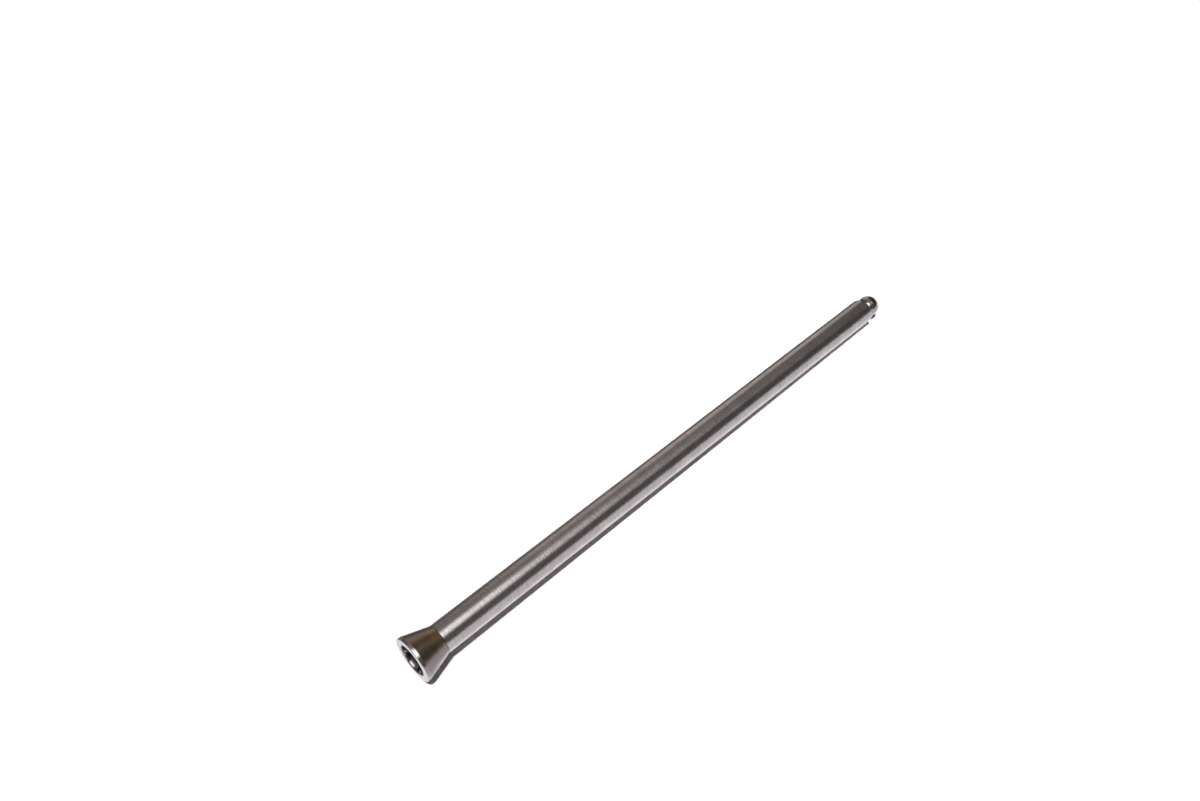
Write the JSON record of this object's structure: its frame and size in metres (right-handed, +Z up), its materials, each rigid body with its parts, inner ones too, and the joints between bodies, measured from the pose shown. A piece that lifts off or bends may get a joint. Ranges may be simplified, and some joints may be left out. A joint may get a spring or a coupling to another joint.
{
  "type": "engine pushrod",
  "caption": "Tubular steel engine pushrod lying on its side, with a flared cup end for a rocker's ball stud and a ball end for a valve lifter.",
  "frame": {"origin": "on the floor, below the middle of the whole rod's box, with the rod lying on its side as it rests", "axes": "+X along the rod from the cup to the ball (the axis itself dips 0.69 degrees towards the ball, because the cup is wider than the tube), +Z up"},
  "size_m": [0.188, 0.0122, 0.0123],
  "materials": {
    "tube_steel": "centreless-ground, satin, with fine rings around it",
    "cup_steel": "turned and hardened, tinted brown, with fine turning rings",
    "ball_steel": "hardened and polished dark"
  },
  "bodies": {
    "root": {"tube": "tube_steel", "cup_end": "cup_steel", "ball_end": "ball_steel"}
  },
  "joints": []
}
